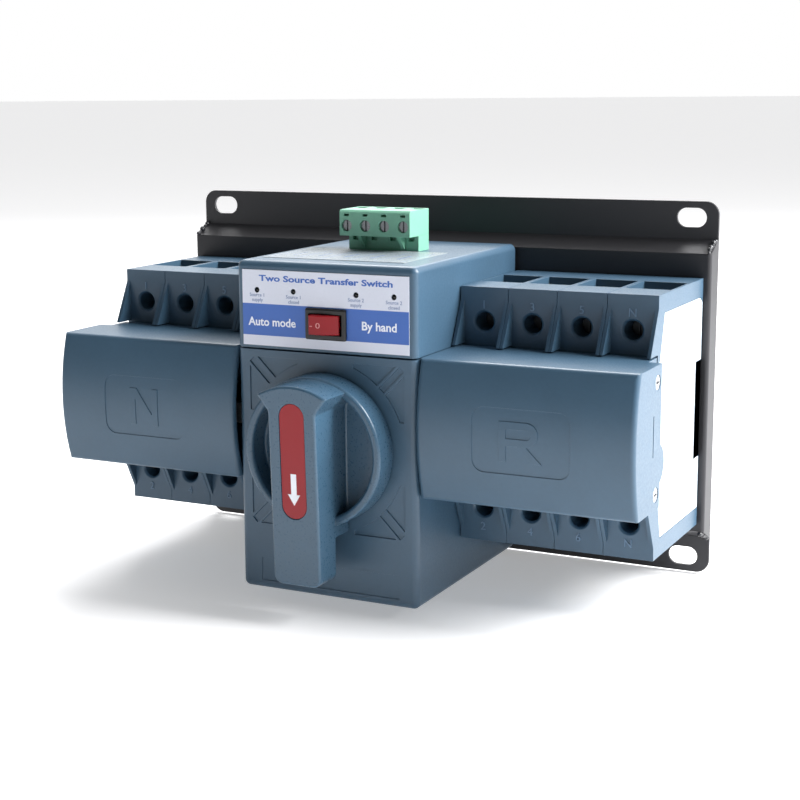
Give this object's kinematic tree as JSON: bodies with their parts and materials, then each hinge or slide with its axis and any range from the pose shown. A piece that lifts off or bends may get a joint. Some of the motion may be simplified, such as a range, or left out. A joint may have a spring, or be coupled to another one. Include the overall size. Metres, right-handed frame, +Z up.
{
  "type": "transfer switch",
  "caption": "Dual-source transfer switch: middle box with rotary handle and rocker, a breaker on each side under a cover, all on a slotted folded back plate.",
  "frame": {"origin": "centre of the four wall-mounting slots, on the wall plane", "axes": "+Z up, +X to the right as seen from the front, the object faces -Y"},
  "size_m": [0.225, 0.1248, 0.14],
  "materials": {
    "black_powder_coat": "satin black powder coat on folded steel",
    "blue_grey_plastic": "blue-grey moulded nylon with a fine texture",
    "white_plastic": "white moulded plastic",
    "black_plastic": "black moulded plastic",
    "red_plastic": "red moulded plastic",
    "green_plastic": "light green moulded polyamide",
    "label_print": "laminated printed sheet",
    "circuit_board": "green lacquered glass-fibre board",
    "dark_lens": "dark clear lamp",
    "zinc_sheet": "zinc-plated sheet steel",
    "zinc_screws": "zinc-plated steel",
    "steel_bar": "turned steel",
    "motor_can": "drawn steel can",
    "sintered_bronze": "sintered bronze",
    "brass": "brass",
    "copper_wire": "wound copper wire"
  },
  "bodies": {
    "root": {"back_plate": "black_powder_coat", "plate_screws": "zinc_screws", "din_rails": "zinc_sheet", "chassis": "zinc_sheet", "shaft_bushes": "sintered_bronze", "idler_pin": "zinc_screws", "gear_motor": "motor_can", "limit_switches": "black_plastic", "lower_housing": "blue_grey_plastic", "upper_housing": "blue_grey_plastic", "front_label": "label_print", "wiring_label": "label_print", "control_board": "circuit_board", "control_relays": "black_plastic", "board_pillars": "white_plastic", "indicator_lamps": "dark_lens", "rocker_frame": "black_plastic", "terminal_board": "circuit_board", "terminal_header": "green_plastic", "header_pins": "brass", "pole_left_1": "blue_grey_plastic", "pole_left_2": "blue_grey_plastic", "pole_left_3": "blue_grey_plastic", "pole_left_4": "blue_grey_plastic", "pole_right_1": "blue_grey_plastic", "pole_right_2": "blue_grey_plastic", "pole_right_3": "blue_grey_plastic", "pole_right_4": "blue_grey_plastic", "end_plate_left": "white_plastic", "end_plate_right": "white_plastic", "terminal_clamps": "brass", "terminal_screws": "zinc_screws", "trip_coils": "copper_wire", "arc_chutes": "zinc_sheet", "lever_pivots": "steel_bar", "cover_left": "blue_grey_plastic", "cover_right": "blue_grey_plastic", "cover_screws": "zinc_screws"},
    "handle": {"handle_grip": "blue_grey_plastic", "handle_inlay": "red_plastic", "handle_screw": "zinc_screws", "handle_shaft": "steel_bar", "crank_disc": "steel_bar", "switch_cam": "white_plastic", "main_gear": "white_plastic"},
    "idler": {"idler_gear": "white_plastic"},
    "pinion": {"motor_pinion": "brass", "motor_spindle": "steel_bar"},
    "yoke_left": {"slide_yoke_left": "zinc_sheet"},
    "yoke_right": {"slide_yoke_right": "zinc_sheet"},
    "levers_left": {"toggle_levers_left": "black_plastic", "toggle_tie_left": "steel_bar"},
    "levers_right": {"toggle_levers_right": "black_plastic", "toggle_tie_right": "steel_bar"},
    "rocker": {"rocker_button": "red_plastic"},
    "plug": {"terminal_plug": "green_plastic", "plug_screws": "zinc_screws"},
    "clip_left": {"din_clip_left": "black_plastic"},
    "clip_right": {"din_clip_right": "black_plastic"}
  },
  "joints": [
    {"name": "handle_turn", "type": "hinge", "parent": "root", "child": "handle", "pos_m": [0, -0.1, -0.0114], "axis": [0, -1, 0], "range_deg": [-45, 45]},
    {"name": "idler_spin", "type": "hinge", "parent": "root", "child": "idler", "pos_m": [-0.018, -0.066, -0.03688], "axis": [0, -1, 0], "range_deg": [-73, 73]},
    {"name": "pinion_spin", "type": "hinge", "parent": "root", "child": "pinion", "pos_m": [-0.00221, -0.066, -0.04263], "axis": [0, -1, 0], "range_deg": [-181, 181]},
    {"name": "yoke_left_slide", "type": "slide", "parent": "root", "child": "yoke_left", "axis": [0, 0, 1], "range_m": [-0.0072, 0.0072]},
    {"name": "yoke_right_slide", "type": "slide", "parent": "root", "child": "yoke_right", "axis": [0, 0, 1], "range_m": [-0.0072, 0.0072]},
    {"name": "levers_left_tilt", "type": "hinge", "parent": "root", "child": "levers_left", "pos_m": [-0.0716, -0.076, -0.0029], "axis": [1, 0, 0], "range_deg": [-33, 33]},
    {"name": "levers_right_tilt", "type": "hinge", "parent": "root", "child": "levers_right", "pos_m": [0.0716, -0.076, -0.0029], "axis": [1, 0, 0], "range_deg": [-33, 33]},
    {"name": "rocker_tilt", "type": "hinge", "parent": "root", "child": "rocker", "pos_m": [0.00095, -0.1005, 0.032], "axis": [0, 0, -1], "range_deg": [0, 24]},
    {"name": "plug_pull", "type": "slide", "parent": "root", "child": "plug", "axis": [0, 0, 1], "range_m": [0, 0.012]},
    {"name": "clip_left_slide", "type": "slide", "parent": "root", "child": "clip_left", "axis": [0, 0, -1], "range_m": [0, 0.004], "stiffness_N_per_m": 1500, "springref_m": -0.002},
    {"name": "clip_right_slide", "type": "slide", "parent": "root", "child": "clip_right", "axis": [0, 0, -1], "range_m": [0, 0.004], "stiffness_N_per_m": 1500, "springref_m": -0.002}
  ],
  "couplings": [
    {"joint": "idler_spin", "follows": "handle_turn", "ratio": -1.6},
    {"joint": "pinion_spin", "follows": "handle_turn", "ratio": 4},
    {"joint": "yoke_right_slide", "follows": "handle_turn", "m_per_rad": 0.0091},
    {"joint": "yoke_left_slide", "follows": "handle_turn", "m_per_rad": -0.0091},
    {"joint": "levers_right_tilt", "follows": "handle_turn", "ratio": -0.72},
    {"joint": "levers_left_tilt", "follows": "handle_turn", "ratio": 0.72}
  ]
}
